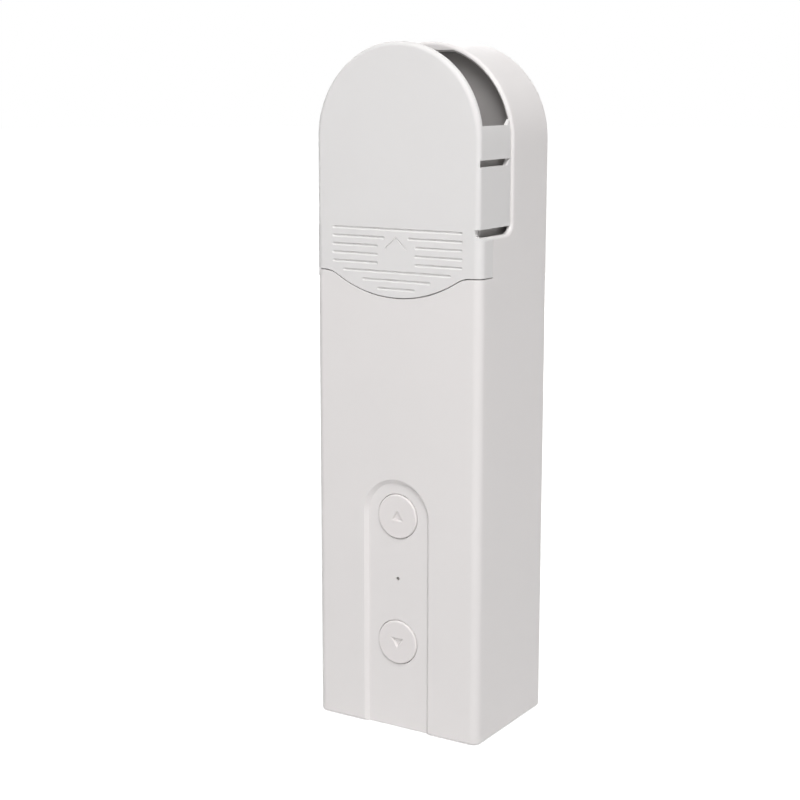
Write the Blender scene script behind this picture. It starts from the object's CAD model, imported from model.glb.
"""A beaded chain shade motor in satin white plastic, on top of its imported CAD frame.

The CAD nodes keep their shapes and get moulded, turned and lacquered finishes. The push
buttons, the pocket wheel and the small screws are made again here as finer surfaces, and a
small corner piece carries the cover's left edge past the slot.
X is to the right, Y goes from the front face to the wall behind, Z is up, in metres.
"""

import logging
from dataclasses import dataclass
from enum import Enum
from math import cos, pi, radians, sin

import bpy
import numpy as np
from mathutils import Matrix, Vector

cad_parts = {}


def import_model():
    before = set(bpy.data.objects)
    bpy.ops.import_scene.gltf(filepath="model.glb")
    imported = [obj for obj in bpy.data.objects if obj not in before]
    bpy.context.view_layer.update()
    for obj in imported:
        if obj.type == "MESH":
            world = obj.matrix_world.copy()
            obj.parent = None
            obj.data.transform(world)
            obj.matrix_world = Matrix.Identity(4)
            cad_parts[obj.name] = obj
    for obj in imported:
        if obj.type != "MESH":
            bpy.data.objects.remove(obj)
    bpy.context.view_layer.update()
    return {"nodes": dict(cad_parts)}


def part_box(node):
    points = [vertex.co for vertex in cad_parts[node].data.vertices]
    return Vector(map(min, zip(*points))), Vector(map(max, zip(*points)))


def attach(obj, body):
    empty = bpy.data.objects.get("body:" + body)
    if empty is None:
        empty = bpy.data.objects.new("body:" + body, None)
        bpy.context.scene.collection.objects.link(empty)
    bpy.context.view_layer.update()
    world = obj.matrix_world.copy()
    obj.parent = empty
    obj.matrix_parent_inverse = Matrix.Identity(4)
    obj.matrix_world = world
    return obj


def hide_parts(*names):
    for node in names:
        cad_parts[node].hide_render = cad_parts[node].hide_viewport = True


LOG = logging.getLogger("shade_motor")
MM = 0.001

Colour = tuple[float, float, float]
FLOAT, VECTOR = "NodeSocketFloat", "NodeSocketVector"


# Surfaces worked out with numpy


class Surface:
    """Grids of points gathered into one closed mesh."""

    def __init__(self) -> None:
        """Starts with no points and no faces."""
        self.points: list[np.ndarray] = []
        self.quads: list[np.ndarray] = []
        self.triangles: list[np.ndarray] = []
        self.count = 0

    def add_rings(self, grid: np.ndarray) -> None:
        """Adds a closed form from rows of points that each run once round it.

        Neighbouring rows are joined by four sided faces, and the first and last rows are closed
        at their mean points. The faces look outwards where the way from row to row, crossed
        with the way along a row, points out of the form.

        Args:
            grid: Points in metres, rows by columns by three.
        """
        rows, columns, _ = grid.shape
        index = self.count + np.arange(rows * columns).reshape(rows, columns)
        after = np.roll(index, -1, axis=1)
        sides = np.stack([index[:-1], index[1:], after[1:], after[:-1]], axis=-1)
        self.quads.append(sides.reshape(-1, 4))
        pole = np.full(columns, self.count + rows * columns)
        self.triangles.append(np.stack([pole, index[0], after[0]], axis=-1))
        self.triangles.append(np.stack([pole + 1, after[-1], index[-1]], axis=-1))
        poles = np.stack([grid[0].mean(axis=0), grid[-1].mean(axis=0)])
        self.points.append(np.concatenate([grid.reshape(-1, 3), poles]))
        self.count += rows * columns + 2

    def add_revolved(self, radius: np.ndarray, along: np.ndarray, centre: Vector) -> None:
        """Adds a closed round form about an axis along Y.

        The form is radius(i, j) * (cos t, sin t) across and along(i, j) on the axis, where i
        runs down the outline from the front and j runs round it with t = 2 pi j / columns.

        Args:
            radius: Distance from the axis, outline rows by columns round it.
            along: Place on the Y axis, of the same shape.
            centre: A point of the axis. Its Y is the zero of along.
        """
        turn = np.arange(radius.shape[1]) * (2 * pi / radius.shape[1])
        x = centre.x + radius * np.cos(turn)
        z = centre.z + radius * np.sin(turn)
        self.add_rings(np.stack([x, centre.y + along, z], axis=-1))

    def to_object(self, name: str, sharp: float = 35.0) -> bpy.types.Object:
        """Writes the gathered faces to one mesh object with outward normals.

        Args:
            name: The piece's name.
            sharp: The angle in degrees past which an edge is drawn sharp.

        Returns:
            The new object, linked to the scene, at the origin.
        """
        points = np.concatenate(self.points)
        corners, sizes = [], []
        for faces in (*self.quads, *self.triangles):
            corners.append(faces.reshape(-1))
            sizes.append(np.full(len(faces), faces.shape[1]))
        corner, size = np.concatenate(corners), np.concatenate(sizes)
        start = np.concatenate([[0], np.cumsum(size)[:-1]])
        mesh = bpy.data.meshes.new(name)
        mesh.vertices.add(len(points))
        mesh.vertices.foreach_set("co", points.reshape(-1).astype(np.float32))
        mesh.loops.add(len(corner))
        mesh.loops.foreach_set("vertex_index", corner.astype(np.int32))
        mesh.polygons.add(len(size))
        mesh.polygons.foreach_set("loop_start", start.astype(np.int32))
        mesh.update(calc_edges=True)
        mesh.validate()
        mesh.shade_smooth()
        mesh.set_sharp_from_angle(angle=radians(sharp))
        piece = bpy.data.objects.new(name, mesh)
        bpy.context.scene.collection.objects.link(piece)
        return piece


def smooth_step(value: np.ndarray) -> np.ndarray:
    """Rises from 0 to 1 as value does, with level ends: 3 v squared less 2 v cubed."""
    level = np.clip(value, 0.0, 1.0)
    return level * level * (3 - 2 * level)


def outline_points(corners: list[tuple[float, float, float]], arc_steps: int = 8) -> np.ndarray:
    """An outline with its corners rounded by arcs.

    Each corner (r, y, fillet) is cut back by fillet along both of its sides and joined by a
    quadratic arc: (1 - s)^2 a + 2 s (1 - s) corner + s^2 b.

    Args:
        corners: Radius, place on the axis and cut back length of each corner.
        arc_steps: How many points an arc has.

    Returns:
        The outline's points, as rows of radius and place.
    """
    rows = []
    places = [np.array(c[:2]) for c in corners]
    for index, (here, corner) in enumerate(zip(places, corners)):
        cut = corner[2]
        if cut == 0 or index in (0, len(places) - 1):
            rows.append(here[None])
            continue
        before, after = places[index - 1], places[index + 1]
        a = here + (before - here) / np.linalg.norm(before - here) * cut
        b = here + (after - here) / np.linalg.norm(after - here) * cut
        s = np.linspace(0, 1, arc_steps)[:, None]
        rows.append((1 - s) ** 2 * a + 2 * s * (1 - s) * here + s**2 * b)
    return np.concatenate(rows)


# Shader node groups that several finishes share


class Wiring:
    """A small helper that adds and joins the nodes of one tree."""

    def __init__(self, tree: bpy.types.NodeTree) -> None:
        """Keeps the tree that the nodes go to."""
        self.tree = tree

    def node(self, kind: str, **settings: object) -> bpy.types.Node:
        """Adds a node and sets its properties."""
        made = self.tree.nodes.new(kind)
        for key, value in settings.items():
            setattr(made, key, value)
        return made

    def join(self, source: bpy.types.NodeSocket, target: bpy.types.NodeSocket) -> None:
        """Links two sockets."""
        self.tree.links.new(source, target)

    def feed(self, target: bpy.types.NodeSocket, value: object) -> None:
        """Links a socket to another, or sets its plain value."""
        if isinstance(value, bpy.types.NodeSocket):
            self.join(value, target)
        else:
            target.default_value = value

    def math(self, operation: str, first: object, second: object = 0.0) -> bpy.types.NodeSocket:
        """A Math node of two inputs, not clamped."""
        made = self.node("ShaderNodeMath", operation=operation)
        self.feed(made.inputs[0], first)
        self.feed(made.inputs[1], second)
        return made.outputs[0]

    def remap(
        self, value: object, low: float, high: float, new_low: float, new_high: float
    ) -> bpy.types.NodeSocket:
        """A clamped change of range."""
        made = self.node("ShaderNodeMapRange")
        self.feed(made.inputs["Value"], value)
        made.inputs["From Min"].default_value = low
        made.inputs["From Max"].default_value = high
        made.inputs["To Min"].default_value = new_low
        made.inputs["To Max"].default_value = new_high
        return made.outputs["Result"]

    def noise(self, place: object, scale: object, detail: float = 2.0) -> bpy.types.NodeSocket:
        """A noise texture's value."""
        made = self.node("ShaderNodeTexNoise")
        self.feed(made.inputs["Vector"], place)
        self.feed(made.inputs["Scale"], scale)
        made.inputs["Detail"].default_value = detail
        return made.outputs["Fac"]

    def blend(self, amount: object, first: object, second: object) -> bpy.types.NodeSocket:
        """A mix of two colours."""
        made = self.node("ShaderNodeMix", data_type="RGBA")
        self.feed(made.inputs[0], amount)
        self.feed(made.inputs[6], first)
        self.feed(made.inputs[7], second)
        return made.outputs[2]


def new_group(name: str, inputs: dict[str, str], outputs: dict[str, str]) -> tuple[Wiring, dict, dict]:
    """Starts a shader node group.

    Args:
        name: The group's name.
        inputs: Socket type of each named input.
        outputs: Socket type of each named output.

    Returns:
        The wiring of the group, its inputs as sockets to read and its outputs as sockets to feed.
    """
    tree = bpy.data.node_groups.new(name, "ShaderNodeTree")
    for label, kind in inputs.items():
        tree.interface.new_socket(label, in_out="INPUT", socket_type=kind)
    for label, kind in outputs.items():
        tree.interface.new_socket(label, in_out="OUTPUT", socket_type=kind)
    wiring = Wiring(tree)
    entry, leave = wiring.node("NodeGroupInput"), wiring.node("NodeGroupOutput")
    reads = {label: entry.outputs[label] for label in inputs}
    feeds = {label: leave.inputs[label] for label in outputs}
    return wiring, reads, feeds


def make_grain_group() -> bpy.types.NodeTree:
    """Fine eroded mould texture: two noises added, the finer one weaker."""
    inputs, outputs = {"Place": VECTOR, "Scale": FLOAT}, {"Height": FLOAT, "Tone": FLOAT}
    wiring, reads, feeds = new_group("fine_grain", inputs, outputs)
    coarse = wiring.noise(reads["Place"], reads["Scale"])
    finer = wiring.math("MULTIPLY", reads["Scale"], 3.1)
    fine = wiring.noise(reads["Place"], finer)
    wiring.join(wiring.math("ADD", coarse, wiring.math("MULTIPLY", fine, 0.4)), feeds["Height"])
    slow = wiring.noise(reads["Place"], wiring.math("MULTIPLY", reads["Scale"], 0.012), 3.0)
    wiring.join(slow, feeds["Tone"])
    return wiring.tree


def make_wear_group() -> bpy.types.NodeTree:
    """Edges that handling has polished: where the rounded normal leaves the face's own."""
    inputs = {"Place": VECTOR, "Rounded": VECTOR, "Gain": FLOAT, "Scale": FLOAT}
    wiring, reads, feeds = new_group("edge_wear", inputs, {"Mask": FLOAT})
    shape = wiring.node("ShaderNodeNewGeometry")
    match = wiring.node("ShaderNodeVectorMath", operation="DOT_PRODUCT")
    wiring.join(reads["Rounded"], match.inputs[0])
    wiring.join(shape.outputs["Normal"], match.inputs[1])
    turned = wiring.math("SUBTRACT", 1.0, match.outputs["Value"])
    broken = wiring.remap(wiring.noise(reads["Place"], reads["Scale"], 4.0), 0.35, 0.65, 0.25, 1.0)
    edge = wiring.math("MULTIPLY", turned, reads["Gain"])
    masked = wiring.math("MULTIPLY", wiring.math("MINIMUM", edge, 1.0), broken)
    wiring.join(masked, feeds["Mask"])
    return wiring.tree


def make_dust_group() -> bpy.types.NodeTree:
    """A thin uneven film of dust on what faces up."""
    inputs = {"Place": VECTOR, "Amount": FLOAT, "Scale": FLOAT}
    wiring, reads, feeds = new_group("settled_dust", inputs, {"Mask": FLOAT})
    shape = wiring.node("ShaderNodeNewGeometry")
    parts = wiring.node("ShaderNodeSeparateXYZ")
    wiring.join(shape.outputs["Normal"], parts.inputs[0])
    upward = wiring.remap(parts.outputs["Z"], 0.55, 1.0, 0.0, 1.0)
    patchy = wiring.remap(wiring.noise(reads["Place"], reads["Scale"], 5.0), 0.4, 0.75, 0.2, 1.0)
    film = wiring.math("MULTIPLY", wiring.math("MULTIPLY", upward, patchy), reads["Amount"])
    wiring.join(film, feeds["Mask"])
    return wiring.tree


@dataclass(frozen=True)
class SharedEffects:
    """The node groups, each built once."""

    grain: bpy.types.NodeTree
    wear: bpy.types.NodeTree
    dust: bpy.types.NodeTree

    @staticmethod
    def build() -> "SharedEffects":
        """Makes the three groups."""
        return SharedEffects(make_grain_group(), make_wear_group(), make_dust_group())


# Finishes


@dataclass(frozen=True)
class MouldedPlastic:
    """An injection moulded plastic, from satin shell to dull inner frame."""

    name: str
    colour: Colour
    roughness: float = 0.42
    gloss: float = 0.4
    grain_scale: float = 2600.0
    grain_depth: float = 0.004
    tone_change: float = 0.03
    edge_radius: float = 0.15
    wear: float = 0.15
    wear_gain: float = 6.0
    wear_scale: float = 400.0
    wear_colour: Colour = (0.86, 0.86, 0.85)
    dust: float = 0.05
    dust_scale: float = 300.0
    dust_colour: Colour = (0.42, 0.40, 0.37)
    flank_colour: Colour | None = None
    flank_from: tuple[float, float] = (21.5, 1.8)
    flank_fade: float = 0.3

    def build(self, effects: SharedEffects) -> bpy.types.Material:
        """Makes the material.

        Args:
            effects: The shared node groups.

        Returns:
            The finished material.
        """
        material, wiring, shader, place = start_material(self.name)
        shader.inputs["Specular IOR Level"].default_value = self.gloss
        rounded = wiring.node("ShaderNodeBevel", samples=6)
        rounded.inputs["Radius"].default_value = self.edge_radius * MM
        grain = wiring.node("ShaderNodeGroup", node_tree=effects.grain)
        wiring.join(place, grain.inputs["Place"])
        grain.inputs["Scale"].default_value = self.grain_scale
        wear = wiring.node("ShaderNodeGroup", node_tree=effects.wear)
        wiring.join(place, wear.inputs["Place"])
        wiring.join(rounded.outputs["Normal"], wear.inputs["Rounded"])
        wear.inputs["Gain"].default_value = self.wear_gain
        wear.inputs["Scale"].default_value = self.wear_scale
        dust = wiring.node("ShaderNodeGroup", node_tree=effects.dust)
        wiring.join(place, dust.inputs["Place"])
        dust.inputs["Amount"].default_value = self.dust
        dust.inputs["Scale"].default_value = self.dust_scale
        low = shade(self.colour, 1 - self.tone_change)
        high = shade(self.colour, 1 + self.tone_change / 2)
        base = wiring.blend(grain.outputs["Tone"], low, high)
        if self.flank_colour:
            base = wiring.blend(self.flank(wiring, place), base, (*self.flank_colour, 1))
        rubbed = wiring.math("MULTIPLY", wear.outputs["Mask"], self.wear)
        worn = wiring.blend(rubbed, base, (*self.wear_colour, 1))
        dusty = wiring.blend(dust.outputs["Mask"], worn, (*self.dust_colour, 1))
        wiring.join(dusty, shader.inputs["Base Color"])
        dull = wiring.remap(grain.outputs["Tone"], 0.3, 0.7, self.roughness - 0.04, self.roughness + 0.05)
        polished = wiring.math("SUBTRACT", dull, wiring.math("MULTIPLY", wear.outputs["Mask"], 0.1))
        wiring.join(wiring.math("ADD", polished, dust.outputs["Mask"]), shader.inputs["Roughness"])
        bump = wiring.node("ShaderNodeBump")
        bump.inputs["Strength"].default_value = 1.0
        bump.inputs["Distance"].default_value = self.grain_depth * MM
        wiring.join(grain.outputs["Height"], bump.inputs["Height"])
        wiring.join(rounded.outputs["Normal"], bump.inputs["Normal"])
        wiring.join(bump.outputs["Normal"], shader.inputs["Normal"])
        return material

    def flank(self, wiring: Wiring, place: bpy.types.NodeSocket) -> bpy.types.NodeSocket:
        """1 on what stands far enough to the side and to the front, as the well's walls do.

        Args:
            wiring: The material's nodes.
            place: The Object coordinates.

        Returns:
            The mask.
        """
        side, front = (reach * MM for reach in self.flank_from)
        fade = self.flank_fade * MM
        parts = wiring.node("ShaderNodeSeparateXYZ")
        wiring.join(place, parts.inputs[0])
        aside = wiring.remap(wiring.math("ABSOLUTE", parts.outputs["X"]), side, side + fade, 0.0, 1.0)
        ahead = wiring.remap(parts.outputs["Y"], front, front + fade, 1.0, 0.0)
        return wiring.math("MULTIPLY", aside, ahead)


@dataclass(frozen=True)
class WorkedMetal:
    """A turned, rolled or stamped metal with fine lines round or along it."""

    name: str
    colour: Colour
    roughness: float = 0.3
    line_scale: tuple[float, float, float] = (40.0, 9000.0, 40.0)
    line_depth: float = 0.002
    edge_radius: float = 0.1
    tarnish: Colour = (0.25, 0.22, 0.19)
    tarnish_share: float = 0.12

    def build(self, effects: SharedEffects) -> bpy.types.Material:
        """Makes the material.

        Args:
            effects: The shared node groups.

        Returns:
            The finished material.
        """
        material, wiring, shader, place = start_material(self.name)
        shader.inputs["Metallic"].default_value = 1.0
        rounded = wiring.node("ShaderNodeBevel", samples=4)
        rounded.inputs["Radius"].default_value = self.edge_radius * MM
        stretch = wiring.node("ShaderNodeMapping")
        wiring.join(place, stretch.inputs["Vector"])
        stretch.inputs["Scale"].default_value = self.line_scale
        lines = wiring.noise(stretch.outputs["Vector"], 1.0, 3.0)
        grain = wiring.node("ShaderNodeGroup", node_tree=effects.grain)
        wiring.join(place, grain.inputs["Place"])
        grain.inputs["Scale"].default_value = 18000.0
        spots = wiring.remap(grain.outputs["Tone"], 0.45, 0.75, 0.0, self.tarnish_share * 2)
        bright = wiring.blend(lines, shade(self.colour, 0.92), shade(self.colour, 1.06))
        wiring.join(wiring.blend(spots, bright, (*self.tarnish, 1)), shader.inputs["Base Color"])
        streaked = wiring.remap(lines, 0.3, 0.7, self.roughness - 0.06, self.roughness + 0.08)
        dulled = wiring.math("ADD", streaked, wiring.math("MULTIPLY", spots, 0.3))
        wiring.join(dulled, shader.inputs["Roughness"])
        bump = wiring.node("ShaderNodeBump")
        bump.inputs["Distance"].default_value = self.line_depth * MM
        wiring.join(lines, bump.inputs["Height"])
        wiring.join(rounded.outputs["Normal"], bump.inputs["Normal"])
        wiring.join(bump.outputs["Normal"], shader.inputs["Normal"])
        return material


@dataclass(frozen=True)
class BoardLacquer:
    """Green solder resist over copper tracks, with bare pads."""

    name: str = "board_lacquer"
    resist: Colour = (0.018, 0.11, 0.045)
    over_track: Colour = (0.03, 0.19, 0.075)
    pad: Colour = (0.72, 0.60, 0.36)

    def build(self, effects: SharedEffects) -> bpy.types.Material:
        """Makes the material: brick joints are the gaps between tracks and small cells are pads.

        Args:
            effects: The shared node groups.

        Returns:
            The finished material.
        """
        material, wiring, shader, place = start_material(self.name)
        turn = wiring.node("ShaderNodeMapping")
        turn.inputs["Rotation"].default_value = (pi / 2, 0, 0)
        wiring.join(place, turn.inputs["Vector"])
        tracks = wiring.node("ShaderNodeTexBrick")
        wiring.join(turn.outputs["Vector"], tracks.inputs["Vector"])
        tracks.inputs["Scale"].default_value = 90.0
        tracks.inputs["Mortar Size"].default_value = 0.03
        laid = wiring.math("SUBTRACT", 1.0, tracks.outputs["Fac"])
        cells = wiring.node("ShaderNodeTexVoronoi", feature="F1")
        wiring.join(turn.outputs["Vector"], cells.inputs["Vector"])
        cells.inputs["Scale"].default_value = 260.0
        cells.inputs["Randomness"].default_value = 0.25
        pads = wiring.remap(cells.outputs["Distance"], 0.16, 0.2, 1.0, 0.0)
        grain = wiring.node("ShaderNodeGroup", node_tree=effects.grain)
        wiring.join(place, grain.inputs["Place"])
        grain.inputs["Scale"].default_value = 6000.0
        green = wiring.blend(laid, (*self.resist, 1), (*self.over_track, 1))
        wiring.join(wiring.blend(pads, green, (*self.pad, 1)), shader.inputs["Base Color"])
        wiring.join(wiring.remap(grain.outputs["Tone"], 0.3, 0.7, 0.28, 0.4), shader.inputs["Roughness"])
        bump = wiring.node("ShaderNodeBump")
        bump.inputs["Distance"].default_value = 0.03 * MM
        wiring.join(wiring.math("ADD", laid, pads), bump.inputs["Height"])
        wiring.join(bump.outputs["Normal"], shader.inputs["Normal"])
        return material


@dataclass(frozen=True)
class ClearRod:
    """A smoky clear moulding that carries light, faintly ribbed by its mould."""

    name: str = "clear_rod"
    colour: Colour = (0.32, 0.30, 0.28)

    def build(self, effects: SharedEffects) -> bpy.types.Material:
        """Makes the material.

        Args:
            effects: The shared node groups.

        Returns:
            The finished material.
        """
        material, wiring, shader, place = start_material(self.name)
        shader.inputs["Transmission Weight"].default_value = 0.35
        shader.inputs["IOR"].default_value = 1.5
        grain = wiring.node("ShaderNodeGroup", node_tree=effects.grain)
        wiring.join(place, grain.inputs["Place"])
        grain.inputs["Scale"].default_value = 5000.0
        smoke = wiring.blend(grain.outputs["Tone"], shade(self.colour, 0.8), shade(self.colour, 1.1))
        wiring.join(smoke, shader.inputs["Base Color"])
        wiring.join(wiring.remap(grain.outputs["Tone"], 0.3, 0.7, 0.12, 0.3), shader.inputs["Roughness"])
        return material


def start_material(name: str) -> tuple[bpy.types.Material, Wiring, bpy.types.Node, bpy.types.NodeSocket]:
    """Starts a material with its shader and its Object coordinates.

    Args:
        name: The material's name.

    Returns:
        The material, its wiring, its Principled shader and the coordinates' socket.
    """
    material = bpy.data.materials.new(name)
    material.use_nodes = True
    wiring = Wiring(material.node_tree)
    shader = material.node_tree.nodes["Principled BSDF"]
    place = wiring.node("ShaderNodeTexCoord").outputs["Object"]
    return material, wiring, shader, place


def shade(colour: Colour, factor: float) -> tuple[float, float, float, float]:
    """A colour made lighter or darker, with a full alpha."""
    return (*(min(1.0, channel * factor) for channel in colour), 1.0)


class Finish(Enum):
    """Every finish of the object."""

    SHELL = MouldedPlastic("shell_satin_white", (0.783, 0.756, 0.749))
    COVER = MouldedPlastic(
        "cover_satin_white", (0.765, 0.750, 0.745), roughness=0.52, gloss=0.3, edge_radius=0.05
    )
    BUTTON = MouldedPlastic(
        "button_satin_white", (0.785, 0.750, 0.743), roughness=0.38, dust=0.02, edge_radius=0.05
    )
    WALL_PLATE = MouldedPlastic("wall_plate_white", (0.72, 0.71, 0.69), roughness=0.55, grain_depth=0.01)
    WELL = MouldedPlastic(
        "chain_well_grey",
        (0.36, 0.345, 0.34),
        roughness=0.6,
        gloss=0.3,
        wear=0.05,
        flank_colour=(0.66, 0.64, 0.63),
    )
    WHEEL = MouldedPlastic(
        "wheel_grey_acetal", (0.12, 0.12, 0.12), roughness=0.33, wear=0.25, wear_colour=(0.3, 0.3, 0.3)
    )
    GEAR = MouldedPlastic("gear_natural_acetal", (0.72, 0.70, 0.62), roughness=0.35, wear=0.05)
    CASE = MouldedPlastic(
        "case_grey", (0.12, 0.12, 0.125), roughness=0.5, grain_depth=0.01, wear_colour=(0.3, 0.3, 0.3)
    )
    MOTOR_CAP = MouldedPlastic(
        "motor_cap_black", (0.02, 0.02, 0.02), roughness=0.5, wear_colour=(0.1, 0.1, 0.1)
    )
    SWITCH = MouldedPlastic(
        "switch_black", (0.02, 0.02, 0.022), roughness=0.4, wear_colour=(0.1, 0.1, 0.1)
    )
    SLEEVE = MouldedPlastic(
        "cell_sleeve_blue", (0.05, 0.13, 0.26), roughness=0.25, wear_colour=(0.2, 0.3, 0.4)
    )
    SHAFT = WorkedMetal("shaft_steel", (0.62, 0.62, 0.63))
    SCREW = WorkedMetal("screw_zinc", (0.60, 0.60, 0.61), roughness=0.36)
    BRONZE = WorkedMetal("bush_bronze", (0.52, 0.36, 0.17), roughness=0.45)
    BRASS = WorkedMetal("pinion_brass", (0.72, 0.52, 0.24), roughness=0.3)
    CAN = WorkedMetal("motor_can_zinc", (0.50, 0.50, 0.50), roughness=0.42, line_scale=(600.0, 60.0, 600.0))
    CONTACT = WorkedMetal("contact_nickel", (0.66, 0.63, 0.57), roughness=0.28)
    BOARD = BoardLacquer()
    CLEAR = ClearRod()


class PaintShop:
    """Builds each finish the first time that it is asked for, and puts it on pieces."""

    def __init__(self, nodes: dict[str, bpy.types.Object]) -> None:
        """Keeps the CAD nodes and makes the shared groups."""
        self.nodes = nodes
        self.effects = SharedEffects.build()
        self.made: dict[Finish, bpy.types.Material] = {}

    def material(self, finish: Finish) -> bpy.types.Material:
        """The material of a finish."""
        if finish not in self.made:
            self.made[finish] = finish.value.build(self.effects)
        return self.made[finish]

    def dress(self, finish: Finish, *names: str) -> None:
        """Puts one finish on CAD nodes.

        Args:
            finish: Which finish.
            names: The nodes' names.
        """
        for name in names:
            self.coat(self.nodes[name], finish)
            LOG.info("%s dressed in %s", name, finish.value.name)

    def coat(self, piece: bpy.types.Object, finish: Finish) -> None:
        """Puts one finish on a piece, in every slot that it has."""
        slots = piece.data.materials
        if not slots:
            slots.append(self.material(finish))
        for index in range(len(slots)):
            slots[index] = self.material(finish)


# Sub-assemblies


@dataclass
class Housing:
    """The shell, its back plate, the inner chain frame and the screws at the back."""

    shop: PaintShop
    screw_rows: int = 44
    screw_columns: int = 128
    head_radius: float = 2.0
    head_deep: float = 1.0
    head_dome: float = 0.12
    shank_radius: float = 1.1
    point_long: float = 0.6
    recess_half: float = 0.32
    recess_reach: float = 1.15
    recess_depth: float = 0.75

    def build(self) -> None:
        """Makes the screws and dresses the CAD nodes."""
        self.shop.dress(Finish.SHELL, "main_shell", "rear_cover")
        self.shop.dress(Finish.WELL, "chain_well")
        self.make_screws()

    def cross_recess(self, radius: np.ndarray, turn: np.ndarray) -> np.ndarray:
        """Depth of a cross recess on a screw head, in millimetres.

        Each arm is a bar as wide as twice the half width whose depth falls off towards its end,
        and the deeper of the two arms counts.

        Args:
            radius: Distance from the middle of the head.
            turn: Angle round it.

        Returns:
            The depth at each place.
        """
        across, up = radius * np.cos(turn), radius * np.sin(turn)
        depth = np.zeros_like(radius)
        for along, side in ((across, up), (up, across)):
            width = smooth_step((self.recess_half - np.abs(side)) / 0.12 + 0.5)
            length = smooth_step((self.recess_reach - np.abs(along)) / 0.5)
            depth = np.maximum(depth, width * length)
        return depth * self.recess_depth

    def make_screws(self) -> None:
        """One piece of four pan head screws that stands for the plain CAD ones."""
        low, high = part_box("rear_screws")
        face = high.y
        surface = Surface()
        inset = self.head_radius * MM
        for x in (low.x + inset, high.x - inset):
            for z in (low.z + inset, high.z - inset):
                self.add_screw(surface, Vector((x, face, z)), (high.y - low.y) / MM)
        piece = surface.to_object("rear_screw_set")
        self.shop.coat(piece, Finish.SCREW)
        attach(piece, "housing")
        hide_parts("rear_screws")
        LOG.info("rear_screw_set made")

    def add_screw(self, surface: Surface, top: Vector, length: float) -> None:
        """Adds one screw, its head towards the wall behind.

        Args:
            surface: The mesh that it goes to.
            top: Centre of the head's outer face, in metres.
            length: Whole length in millimetres.
        """
        head = self.head_radius
        turn = np.arange(self.screw_columns) * (2 * pi / self.screw_columns)
        face_radius = np.linspace(0.04, head - 0.35, self.screw_rows)[:, None] * np.ones(self.screw_columns)
        dome = -self.head_dome * (face_radius / head) ** 2
        face_along = dome - self.cross_recess(face_radius, np.broadcast_to(turn, face_radius.shape))
        seat, shank = -self.head_deep, self.shank_radius
        rim = outline_points(
            [
                (head - 0.3, -0.13, 0),
                (head, -0.2, 0.15),
                (head, seat, 0.1),
                (shank, seat, 0),
                (shank, self.point_long - length, 0),
                (0.2, -length, 0),
            ]
        )
        rim_radius = rim[:, :1] * np.ones(self.screw_columns)
        rim_along = rim[:, 1:] * np.ones(self.screw_columns)
        radius = np.concatenate([face_radius, rim_radius])[::-1]
        along = np.concatenate([face_along, rim_along])[::-1]
        surface.add_revolved(radius * MM, along * MM, top)


@dataclass
class SlidingCover:
    """The front of the head that slides up to lay the chain in."""

    shop: PaintShop
    span: tuple[float, float] = (143.6, 147.0)
    halves: tuple[float, float] = (27.0, 26.3)
    corner_radii: tuple[float, float] = (2.5, 1.35)
    inner: float = 24.6
    depth: float = 1.75
    recess: float = 0.01
    rows: int = 24
    arc_steps: int = 16

    def build(self) -> None:
        """Dresses the CAD node and closes the notch at its left edge."""
        self.shop.dress(Finish.COVER, "front_cover")
        self.make_corner()

    def make_corner(self) -> None:
        """A small corner piece that carries the left edge of the cover past the slot.

        At each height its section is the front plane, a quarter circle and the side plane. The
        half width and the corner radius go from those of the lower part to those of the head:
        half(z) = a + (b - a) s, with s rising smoothly over the height.
        """
        low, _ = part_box("front_cover")
        height = np.linspace(*self.span, self.rows)
        rise = smooth_step(np.linspace(-0.1, 1.1, self.rows))
        half, radius = (a + (b - a) * rise[:, None] for a, b in (self.halves, self.corner_radii))
        bend = np.linspace(0, pi / 2, self.arc_steps)
        arc_x = -half + radius * (1 - np.sin(bend))
        arc_y = self.recess + radius * (1 - np.cos(bend))
        edge = np.ones((self.rows, 1))
        x = np.concatenate([-self.inner * edge, arc_x, -half, -self.inner * edge], axis=1)
        y = np.concatenate([self.recess * edge, arc_y, self.depth * edge, self.depth * edge], axis=1)
        z = height[:, None] * np.ones(x.shape[1])
        surface = Surface()
        surface.add_rings(np.stack([x * MM, low.y + y * MM, z * MM], axis=-1))
        piece = surface.to_object("cover_left_corner")
        self.shop.coat(piece, Finish.COVER)
        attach(piece, "front_cover")
        LOG.info("cover_left_corner made")


class Direction(Enum):
    """Which way a button's engraved triangle points."""

    UP = 1
    DOWN = -1


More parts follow.
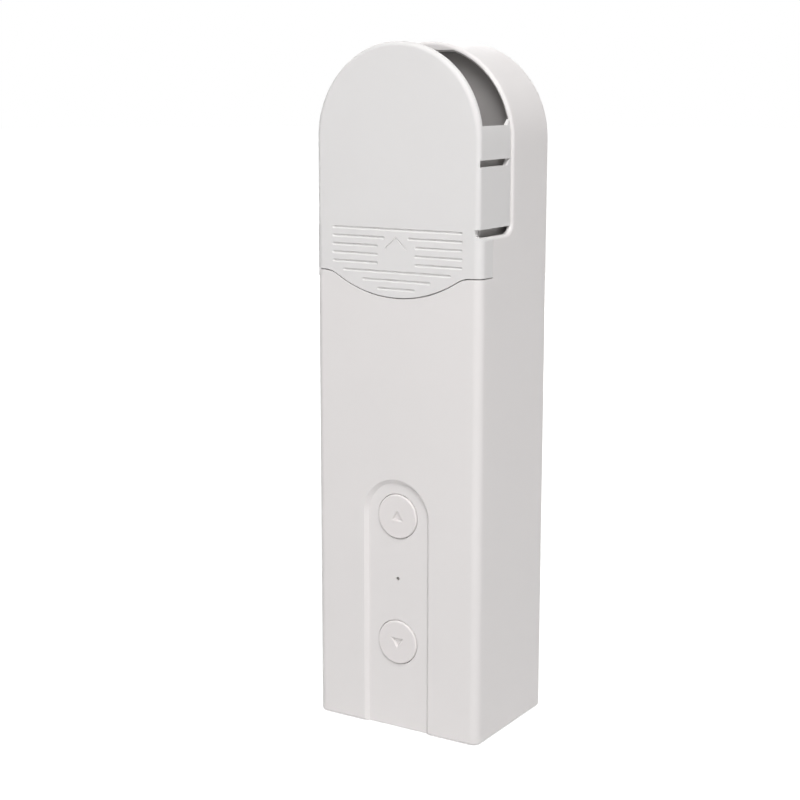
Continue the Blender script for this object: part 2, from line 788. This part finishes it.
@dataclass
class PushButtons:
    """The two round buttons with engraved triangles, and the set button underneath."""

    shop: PaintShop
    rows: int = 110
    columns: int = 288
    proud: float = 0.6
    rim_round: float = 0.55
    dish: float = 0.05
    triangle_half: float = 2.15
    triangle_rise: float = 3.3
    groove_depth: float = 0.6
    groove_slope: float = 0.45
    collar_wide: float = 0.9
    collar_span: tuple[float, float] = (2.4, 3.3)
    boss_radius: float = 2.2

    def build(self) -> None:
        """Makes the two caps and dresses the rest."""
        self.make_cap("up_button", "up_button_cap", Direction.UP)
        self.make_cap("down_button", "down_button_cap", Direction.DOWN)
        self.shop.dress(Finish.BUTTON, "set_button")

    def triangle_depth(self, x: np.ndarray, z: np.ndarray, way: Direction) -> np.ndarray:
        """Depth of the engraved triangle at places on the button's face.

        The signed distance to the triangle is the greatest of the distances to its three side
        lines, and the floor is reached over one slope width inside it.

        Args:
            x: Places across the face, from its centre.
            z: Places up the face, from its centre.
            way: Which way it points.

        Returns:
            The depth at each place, in millimetres.
        """
        up = z * way.value
        base = -self.triangle_rise * 0.42
        tip = base + self.triangle_rise
        side = np.hypot(self.triangle_rise, self.triangle_half)
        slope = (np.abs(x) * self.triangle_rise + (up - tip) * self.triangle_half) / side
        distance = np.maximum(slope, base - up)
        return self.groove_depth * smooth_step(-distance / self.groove_slope)

    def make_cap(self, node: str, name: str, way: Direction) -> None:
        """Makes one cap as a face grid and an outline, both turned round the button's axis.

        Args:
            node: The CAD node that it stands for.
            name: The piece's name.
            way: Which way its triangle points.
        """
        low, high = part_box(node)
        centre = (low + high) / 2
        flange = (high.x - low.x) / 2 / MM
        length = (high.y - low.y) / MM
        radius = flange - self.collar_wide
        turn = np.arange(self.columns) * (2 * pi / self.columns)
        face_radius = np.linspace(0.02, radius - self.rim_round, self.rows)[:, None] * np.ones(self.columns)
        dish = self.dish * (1 - (face_radius / radius) ** 2)
        place_x, place_z = face_radius * np.cos(turn), face_radius * np.sin(turn)
        face_along = dish + self.triangle_depth(place_x, place_z, way) - self.proud
        bend = np.linspace(0, pi / 2, 14)[1:]
        rim_along = self.rim_round * (1 - np.cos(bend)) - self.proud
        rim = np.stack([radius - self.rim_round * (1 - np.sin(bend)), rim_along], axis=1)
        near, far = self.collar_span
        boss, back = self.boss_radius, length - 0.02
        wall = [(radius, near - 0.1), (radius, near)]
        collar = [(flange, near), (flange, far)]
        plunger = [(boss, far), (boss, back), (0.1, back)]
        outline = np.concatenate([rim, np.array(wall + collar + plunger)])
        around = np.ones(self.columns)
        all_radius = np.concatenate([face_radius, outline[:, :1] * around])
        all_along = np.concatenate([face_along, outline[:, 1:] * around])
        surface = Surface()
        surface.add_revolved(all_radius * MM, all_along * MM, Vector((centre.x, low.y, centre.z)))
        piece = surface.to_object(name)
        self.shop.coat(piece, Finish.BUTTON)
        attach(piece, node)
        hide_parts(node)
        LOG.info("%s made", name)


@dataclass
class ChainDrive:
    """The pocket wheel on its shaft, and the gears behind it."""

    shop: PaintShop
    pockets: int = 16
    bead: float = 2.45
    bead_pitch: float = 6.0
    cord: float = 1.0
    half_width: float = 4.5
    hub: float = 6.0
    bore: float = 3.0
    rim_round: float = 0.5
    rim_rows: int = 84
    steps_per_pocket: int = 26

    def build(self) -> None:
        """Makes the wheel and dresses the shafts, bushes and gears."""
        self.make_wheel()
        self.shop.dress(Finish.SHAFT, "drive_shaft", "idler_pin", "motor_rotor")
        self.shop.dress(Finish.SCREW, "wheel_screw", "gear_case_screws", "motor_screws")
        self.shop.dress(Finish.BRONZE, "well_bush", "case_bush")
        self.shop.dress(Finish.GEAR, "output_gear", "idler_gear")
        self.shop.dress(Finish.BRASS, "motor_pinion")
        self.shop.dress(Finish.CASE, "gear_case", "gear_case_cover")

    def rim_surface(self, across: np.ndarray, turn: np.ndarray, rim: float) -> np.ndarray:
        """Distance of the rim's surface from the axis.

        A pocket's floor is the near side of a ball that lies on the pitch circle, seen along the
        ray at each angle: R cos(a) - sqrt(b^2 - y^2 - R^2 sin(a)^2). Beyond the pitch circle its
        walls run straight out. The cord's groove is the same with a circle across the rim.

        Args:
            across: Place across the wheel, from its middle, in millimetres.
            turn: Angle round it.
            rim: The radius of the plain rim at each place.

        Returns:
            The radius at each place.
        """
        pitch = self.bead_pitch / 2 / sin(pi / self.pockets)
        step = 2 * pi / self.pockets
        near = turn % step - step / 2
        reach = self.bead**2 - across**2 - (pitch * np.sin(near)) ** 2
        floor = pitch * np.cos(near) - np.sqrt(np.maximum(reach, 0.0))
        surface = np.where(reach > 0, np.minimum(rim, floor), rim)
        groove = self.cord**2 - across**2
        cord_floor = pitch - np.sqrt(np.maximum(groove, 0.0))
        return np.where(groove > 0, np.minimum(surface, cord_floor), surface)

    def make_wheel(self) -> None:
        """Makes the wheel as one round form whose rim carries the pockets."""
        low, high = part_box("chain_wheel")
        centre = (low + high) / 2
        columns = self.pockets * self.steps_per_pocket
        turn = np.arange(columns) * (2 * pi / columns)
        width, hub, bore = self.half_width, self.hub, self.bore
        rim, proud = (high.x - low.x) / 2 / MM, (high.y - low.y) / 2 / MM
        flat = width - self.rim_round
        across = np.linspace(-flat, flat, self.rim_rows)[:, None]
        rim_radius = self.rim_surface(across, turn, rim) * np.ones((self.rim_rows, columns))
        rim_along = across * np.ones(columns)
        front = outline_points(
            [
                (bore, -proud + 0.3, 0),
                (bore + 0.3, -proud, 0),
                (hub, -proud, 0.3),
                (hub + 0.5, -width, 0.3),
                (rim - self.rim_round, -width, 0),
            ]
        )
        around = np.ones(columns)
        back = front[::-1] * np.array([1, -1])
        radius = np.concatenate([front[:, :1] * around, rim_radius, back[:, :1] * around])
        along = np.concatenate([front[:, 1:] * around, rim_along, back[:, 1:] * around])
        surface = Surface()
        surface.add_revolved(radius * MM, along * MM, centre)
        piece = surface.to_object("pocket_wheel", sharp=50.0)
        self.shop.coat(piece, Finish.WHEEL)
        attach(piece, "chain_wheel")
        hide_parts("chain_wheel")
        LOG.info("pocket_wheel made")


@dataclass
class MotorUnit:
    """The motor under the gear train."""

    shop: PaintShop

    def build(self) -> None:
        """Dresses the CAD nodes."""
        self.shop.dress(Finish.CAN, "motor_can")
        self.shop.dress(Finish.MOTOR_CAP, "motor_end_cap")


@dataclass
class PowerPack:
    """The two cells, their tray and contacts."""

    shop: PaintShop

    def build(self) -> None:
        """Dresses the CAD nodes."""
        self.shop.dress(Finish.SLEEVE, "cell_left", "cell_right")
        self.shop.dress(Finish.CASE, "battery_tray")
        self.shop.dress(Finish.CONTACT, "cell_contacts")


@dataclass
class ControlBoard:
    """The circuit board with its switches, light and charging socket."""

    shop: PaintShop

    def build(self) -> None:
        """Dresses the CAD nodes."""
        self.shop.dress(Finish.BOARD, "circuit_board")
        self.shop.dress(Finish.SWITCH, "up_switch", "down_switch", "set_switch", "usb_tongue")
        self.shop.dress(Finish.CONTACT, "usb_shell")
        self.shop.dress(Finish.CLEAR, "light_pipe", "status_light")


@dataclass
class WallMount:
    """The plate that is screwed to the wall."""

    shop: PaintShop

    def build(self) -> None:
        """Dresses the CAD node."""
        self.shop.dress(Finish.WALL_PLATE, "wall_plate")


ASSEMBLIES = (Housing, SlidingCover, PushButtons, ChainDrive, MotorUnit, PowerPack, ControlBoard, WallMount)

# Studio and camera


@dataclass(frozen=True)
class Softbox:
    """A square lamp that looks at the middle of the object from a given direction."""

    name: str
    power: float
    size: float
    azimuth: float
    elevation: float
    distance: float = 1.1
    target: tuple[float, float, float] = (0.0, 0.0, 0.1)

    def way(self) -> Vector:
        """The direction from the object to the lamp: azimuth from the front towards the right."""
        turn, rise = radians(self.azimuth), radians(self.elevation)
        return Vector((sin(turn) * cos(rise), -cos(turn) * cos(rise), sin(rise)))

    def build(self) -> None:
        """Makes the lamp."""
        data = bpy.data.lights.new(self.name, "AREA")
        data.energy, data.size = self.power, self.size
        lamp = bpy.data.objects.new(self.name, data)
        lamp.location = Vector(self.target) + self.way() * self.distance
        lamp.rotation_mode = "QUATERNION"
        lamp.rotation_quaternion = (-self.way()).to_track_quat("-Z", "Y")
        bpy.context.scene.collection.objects.link(lamp)


@dataclass
class Studio:
    """A plain white floor and background with soft light from the right, above and behind."""

    world_fill: float = 0.15
    floor_radius: float = 6.0
    floor_colour: Colour = (0.8, 0.8, 0.8)
    near_glow: float = 0.62
    far_glow: float = 0.95
    glow_reach: tuple[float, float] = (0.12, 0.7)
    softboxes: tuple[Softbox, ...] = (
        Softbox("key_softbox", 9.1, 0.5, 36.0, 50.0),
        Softbox("front_softbox", 1.4, 0.6, 0.0, 50.0),
        Softbox("low_softbox", 0.7, 0.5, 40.0, 12.0),
        Softbox("top_softbox", 1.35, 0.8, 0.0, 88.0),
        Softbox("rear_softbox", 4.8, 0.7, 215.0, 6.0),
    )

    def build(self) -> None:
        """Makes the floor, the world and the lamps."""
        self.make_floor()
        self.make_world()
        for softbox in self.softboxes:
            softbox.build()

    def make_floor(self) -> None:
        """A round floor with a glow for the rays that see it, so that it reads white.

        The glow grows with the distance from the object: near it the shadow stays visible.
        """
        bpy.ops.mesh.primitive_circle_add(vertices=96, radius=self.floor_radius, fill_type="NGON")
        floor = bpy.context.object
        floor.name = "studio_floor"
        floor.location.z = -0.0002
        material, wiring, shader, place = start_material("studio_white")
        shader.inputs["Roughness"].default_value = 0.9
        shader.inputs["Specular IOR Level"].default_value = 0.0
        speckle = wiring.noise(place, 30.0, 2.0)
        tone = wiring.blend(speckle, shade(self.floor_colour, 0.99), shade(self.floor_colour, 1.01))
        wiring.join(tone, shader.inputs["Base Color"])
        away = wiring.node("ShaderNodeVectorMath", operation="LENGTH")
        wiring.join(place, away.inputs[0])
        level = wiring.remap(away.outputs["Value"], *self.glow_reach, self.near_glow, self.far_glow)
        glow = wiring.node("ShaderNodeEmission")
        wiring.join(wiring.math("MULTIPLY", self.seen_rays(wiring), level), glow.inputs["Strength"])
        both = wiring.node("ShaderNodeAddShader")
        wiring.join(shader.outputs[0], both.inputs[0])
        wiring.join(glow.outputs[0], both.inputs[1])
        wiring.join(both.outputs[0], material.node_tree.nodes["Material Output"].inputs["Surface"])
        floor.data.materials.append(material)

    @staticmethod
    def seen_rays(wiring: Wiring) -> bpy.types.NodeSocket:
        """1 for a ray from the camera, a mirror image or through glass, and 0 for lighting rays."""
        rays = wiring.node("ShaderNodeLightPath")
        seen = wiring.math("MAXIMUM", rays.outputs["Is Camera Ray"], rays.outputs["Is Glossy Ray"])
        return wiring.math("MAXIMUM", seen, rays.outputs["Is Transmission Ray"])

    def make_world(self) -> None:
        """A world that is white where it is seen and dimmer where it only lights."""
        world = bpy.data.worlds.new("studio_air")
        bpy.context.scene.world = world
        world.use_nodes = True
        wiring = Wiring(world.node_tree)
        air = world.node_tree.nodes["Background"]
        air.inputs["Color"].default_value = (1, 1, 1, 1)
        strength = wiring.remap(self.seen_rays(wiring), 0.0, 1.0, self.world_fill, 1.0)
        wiring.join(strength, air.inputs["Strength"])


@dataclass(frozen=True)
class PhotoCamera:
    """The camera that the photograph was taken with, as fitted to its edges."""

    place: tuple[float, float, float] = (0.24231, -0.40530, 0.18633)
    turn: float = 32.095
    pitch: float = 10.754
    lens: float = 74.32
    shift: tuple[float, float] = (0.0039, -0.01)

    def build(self) -> None:
        """Makes the camera and makes it the scene's own."""
        data = bpy.data.cameras.new("photo_camera")
        data.lens, data.sensor_width = self.lens, 36.0
        data.shift_x, data.shift_y = self.shift
        data.clip_start, data.clip_end = 0.02, 30.0
        camera = bpy.data.objects.new("photo_camera", data)
        camera.rotation_euler = (radians(90 - self.pitch), 0.0, radians(self.turn))
        camera.location = self.place
        bpy.context.scene.collection.objects.link(camera)
        bpy.context.scene.camera = camera


def corners(box: tuple[Vector, Vector]) -> list[list[float]]:
    """A box's two corners as plain lists."""
    return [list(corner) for corner in box]


def main() -> None:
    """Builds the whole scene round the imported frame."""
    logging.basicConfig(level=logging.INFO, format="%(name)s: %(message)s")
    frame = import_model()
    bpy.context.scene.view_settings.view_transform = "Standard"
    PhotoCamera().build()
    Studio().build()
    shop = PaintShop(frame["nodes"])
    for assembly in ASSEMBLIES:
        assembly(shop).build()


if __name__ == "__main__":
    main()
